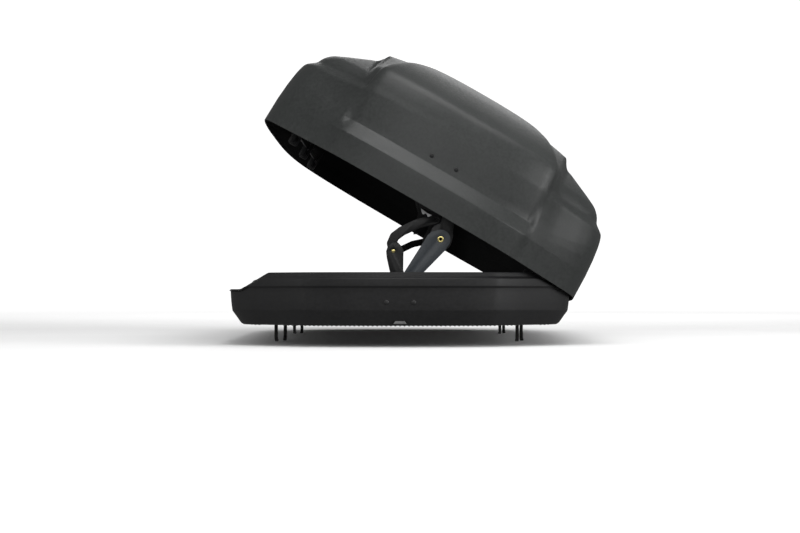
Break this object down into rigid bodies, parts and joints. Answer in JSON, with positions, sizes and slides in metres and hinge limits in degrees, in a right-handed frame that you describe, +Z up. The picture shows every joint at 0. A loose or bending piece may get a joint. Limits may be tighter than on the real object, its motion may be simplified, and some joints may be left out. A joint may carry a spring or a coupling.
{
  "type": "roof cargo box",
  "caption": "Long hard-shell cargo box for a car roof, with a domed lid that opens from either side on folding lifters, side catches and clamps for the crossbars.",
  "frame": {"origin": "middle of the flat underside of the base, half way along the box", "axes": "+X to the right seen from the tail end, +Y forward along the box, +Z up; the lid stands open 30 degrees about the right-hand hinge line"},
  "size_m": [0.905, 2.08, 0.6662],
  "materials": {
    "base_plastic": "fine grained, nearly black",
    "lid_plastic": "fine grained dark grey",
    "galvanised_steel": "dull galvanised",
    "black_steel": "satin black coating",
    "nylon": "dark grey nylon",
    "zinc_fastener": "zinc plated",
    "gold_rivet": "yellow passivated, semi-bright",
    "grey_arm": "satin slate grey coating",
    "dark_arm": "satin charcoal coating",
    "lock_metal": "satin nickel",
    "black_plastic": "moulded, matt",
    "handle_plastic": "moulded, fine grain",
    "knob_plastic": "moulded, ribbed grip",
    "jaw_rubber": "rubber-coated steel"
  },
  "bodies": {
    "base": {"base_shell": "base_plastic", "left_floor_rail": "galvanised_steel", "right_floor_rail": "galvanised_steel", "left_catch_brackets": "galvanised_steel", "right_catch_brackets": "galvanised_steel", "left_bracket_bushes": "nylon", "right_bracket_bushes": "nylon", "long_arm_pivots": "zinc_fastener", "short_arm_pivots": "zinc_fastener", "bracket_screws": "zinc_fastener", "rear_lifter_base_bracket": "black_steel", "front_lifter_base_bracket": "black_steel", "clamp_housings": "black_plastic"},
    "lid": {"lid_shell": "lid_plastic", "left_lid_rail": "black_steel", "right_lid_rail": "black_steel", "left_knuckle_blocks": "black_plastic", "right_knuckle_blocks": "black_plastic", "left_pin_bushes": "nylon", "right_pin_bushes": "nylon", "rear_lifter_lid_bracket": "black_steel", "front_lifter_lid_bracket": "black_steel", "lid_bracket_screws": "black_steel", "left_handle_cup": "black_plastic", "right_handle_cup": "black_plastic", "lid_hoops": "black_steel"},
    "left_bolt": {"left_bolt_bar": "black_steel"},
    "right_bolt": {"right_bolt_bar": "black_steel"},
    "left_handle": {"left_handle": "handle_plastic"},
    "right_handle": {"right_handle": "handle_plastic"},
    "left_lock": {"left_lock_cylinder": "lock_metal"},
    "right_lock": {"right_lock_cylinder": "lock_metal"},
    "long_arms": {"rear_long_arm": "grey_arm", "front_long_arm": "grey_arm", "elbow_eyelets": "gold_rivet"},
    "upper_arms": {"rear_upper_arm": "dark_arm", "front_upper_arm": "dark_arm"},
    "short_arms": {"rear_short_arm": "black_steel", "front_short_arm": "black_steel", "link_rivets": "gold_rivet"},
    "curved_links": {"rear_curved_link": "black_steel", "front_curved_link": "black_steel"},
    "rear_left_clamp_knob": {"rear_left_clamp_knob": "knob_plastic"},
    "rear_left_outer_jaw": {"rear_left_outer_jaw": "jaw_rubber"},
    "rear_left_inner_jaw": {"rear_left_inner_jaw": "jaw_rubber"},
    "rear_right_clamp_knob": {"rear_right_clamp_knob": "knob_plastic"},
    "rear_right_outer_jaw": {"rear_right_outer_jaw": "jaw_rubber"},
    "rear_right_inner_jaw": {"rear_right_inner_jaw": "jaw_rubber"},
    "front_left_clamp_knob": {"front_left_clamp_knob": "knob_plastic"},
    "front_left_outer_jaw": {"front_left_outer_jaw": "jaw_rubber"},
    "front_left_inner_jaw": {"front_left_inner_jaw": "jaw_rubber"},
    "front_right_clamp_knob": {"front_right_clamp_knob": "knob_plastic"},
    "front_right_outer_jaw": {"front_right_outer_jaw": "jaw_rubber"},
    "front_right_inner_jaw": {"front_right_inner_jaw": "jaw_rubber"}
  },
  "joints": [
    {"name": "lid_right_hinge", "type": "hinge", "parent": "base", "child": "lid", "pos_m": [0.359, 0, 0.0924], "axis": [0, 1, 0], "range_deg": [-30.05, 0]},
    {"name": "long_arm_fold", "type": "hinge", "parent": "base", "child": "long_arms", "pos_m": [-0.0295, 0, 0.0515], "axis": [0, -1, 0], "range_deg": [-27.16, 0]},
    {"name": "upper_arm_fold", "type": "hinge", "parent": "long_arms", "child": "upper_arms", "pos_m": [0.0887, 0, 0.1885], "axis": [0, -1, 0], "range_deg": [0, 89.21]},
    {"name": "short_arm_fold", "type": "hinge", "parent": "base", "child": "short_arms", "pos_m": [0.0295, 0, 0.0515], "axis": [0, -1, 0], "range_deg": [0, 18.66]},
    {"name": "curved_link_fold", "type": "hinge", "parent": "short_arms", "child": "curved_links", "pos_m": [-0.0146, 0, 0.1632], "axis": [0, -1, 0], "range_deg": [-90.38, 0]},
    {"name": "left_bolt_slide", "type": "slide", "parent": "lid", "child": "left_bolt", "axis": [0, -1, 0], "range_m": [0, 0.022]},
    {"name": "left_handle_pull", "type": "hinge", "parent": "lid", "child": "left_handle", "pos_m": [-0.28473, 0, 0.56428], "axis": [0, 1, 0], "range_deg": [0, 30]},
    {"name": "left_lock_turn", "type": "hinge", "parent": "left_handle", "child": "left_lock", "pos_m": [-0.28732, 0.046, 0.5548], "axis": [-0.8656, 0, 0.5008], "range_deg": [0, 90]},
    {"name": "right_bolt_slide", "type": "slide", "parent": "lid", "child": "right_bolt", "axis": [0, -1, 0], "range_m": [0, 0.022]},
    {"name": "right_handle_pull", "type": "hinge", "parent": "lid", "child": "right_handle", "pos_m": [0.46747, 0, 0.12912], "axis": [0, -1, 0], "range_deg": [0, 30]},
    {"name": "right_lock_turn", "type": "hinge", "parent": "right_handle", "child": "right_lock", "pos_m": [0.46055, 0.046, 0.12215], "axis": [0.8656, 0, -0.5008], "range_deg": [0, 90]},
    {"name": "rear_left_clamp_turn", "type": "hinge", "parent": "base", "child": "rear_left_clamp_knob", "pos_m": [-0.29, -0.5, 0.03], "axis": [0, 0, 1], "range_deg": [0, 720]},
    {"name": "rear_left_outer_jaw_slide", "type": "slide", "parent": "base", "child": "rear_left_outer_jaw", "axis": [0, -1, 0], "range_m": [0, 0.012]},
    {"name": "rear_left_inner_jaw_slide", "type": "slide", "parent": "base", "child": "rear_left_inner_jaw", "axis": [0, 1, 0], "range_m": [0, 0.012]},
    {"name": "rear_right_clamp_turn", "type": "hinge", "parent": "base", "child": "rear_right_clamp_knob", "pos_m": [0.29, -0.5, 0.03], "axis": [0, 0, 1], "range_deg": [0, 720]},
    {"name": "rear_right_outer_jaw_slide", "type": "slide", "parent": "base", "child": "rear_right_outer_jaw", "axis": [0, -1, 0], "range_m": [0, 0.012]},
    {"name": "rear_right_inner_jaw_slide", "type": "slide", "parent": "base", "child": "rear_right_inner_jaw", "axis": [0, 1, 0], "range_m": [0, 0.012]},
    {"name": "front_left_clamp_turn", "type": "hinge", "parent": "base", "child": "front_left_clamp_knob", "pos_m": [-0.29, 0.3, 0.03], "axis": [0, 0, 1], "range_deg": [0, 720]},
    {"name": "front_left_outer_jaw_slide", "type": "slide", "parent": "base", "child": "front_left_outer_jaw", "axis": [0, -1, 0], "range_m": [0, 0.012]},
    {"name": "front_left_inner_jaw_slide", "type": "slide", "parent": "base", "child": "front_left_inner_jaw", "axis": [0, 1, 0], "range_m": [0, 0.012]},
    {"name": "front_right_clamp_turn", "type": "hinge", "parent": "base", "child": "front_right_clamp_knob", "pos_m": [0.29, 0.3, 0.03], "axis": [0, 0, 1], "range_deg": [0, 720]},
    {"name": "front_right_outer_jaw_slide", "type": "slide", "parent": "base", "child": "front_right_outer_jaw", "axis": [0, -1, 0], "range_m": [0, 0.012]},
    {"name": "front_right_inner_jaw_slide", "type": "slide", "parent": "base", "child": "front_right_inner_jaw", "axis": [0, 1, 0], "range_m": [0, 0.012]}
  ],
  "couplings": [
    {"joint": "long_arm_fold", "follows": "lid_right_hinge", "ratio": 0.90302},
    {"joint": "upper_arm_fold", "follows": "lid_right_hinge", "ratio": -2.9679},
    {"joint": "short_arm_fold", "follows": "lid_right_hinge", "ratio": -0.62042},
    {"joint": "curved_link_fold", "follows": "lid_right_hinge", "ratio": 3.0071},
    {"joint": "left_handle_pull", "follows": "left_bolt_slide", "rad_per_m": 23.8},
    {"joint": "right_handle_pull", "follows": "right_bolt_slide", "rad_per_m": 23.8},
    {"joint": "rear_left_outer_jaw_slide", "follows": "rear_left_clamp_turn", "m_per_rad": 0.00095493},
    {"joint": "rear_left_inner_jaw_slide", "follows": "rear_left_clamp_turn", "m_per_rad": 0.00095493},
    {"joint": "rear_right_outer_jaw_slide", "follows": "rear_right_clamp_turn", "m_per_rad": 0.00095493},
    {"joint": "rear_right_inner_jaw_slide", "follows": "rear_right_clamp_turn", "m_per_rad": 0.00095493},
    {"joint": "front_left_outer_jaw_slide", "follows": "front_left_clamp_turn", "m_per_rad": 0.00095493},
    {"joint": "front_left_inner_jaw_slide", "follows": "front_left_clamp_turn", "m_per_rad": 0.00095493},
    {"joint": "front_right_outer_jaw_slide", "follows": "front_right_clamp_turn", "m_per_rad": 0.00095493},
    {"joint": "front_right_inner_jaw_slide", "follows": "front_right_clamp_turn", "m_per_rad": 0.00095493}
  ]
}
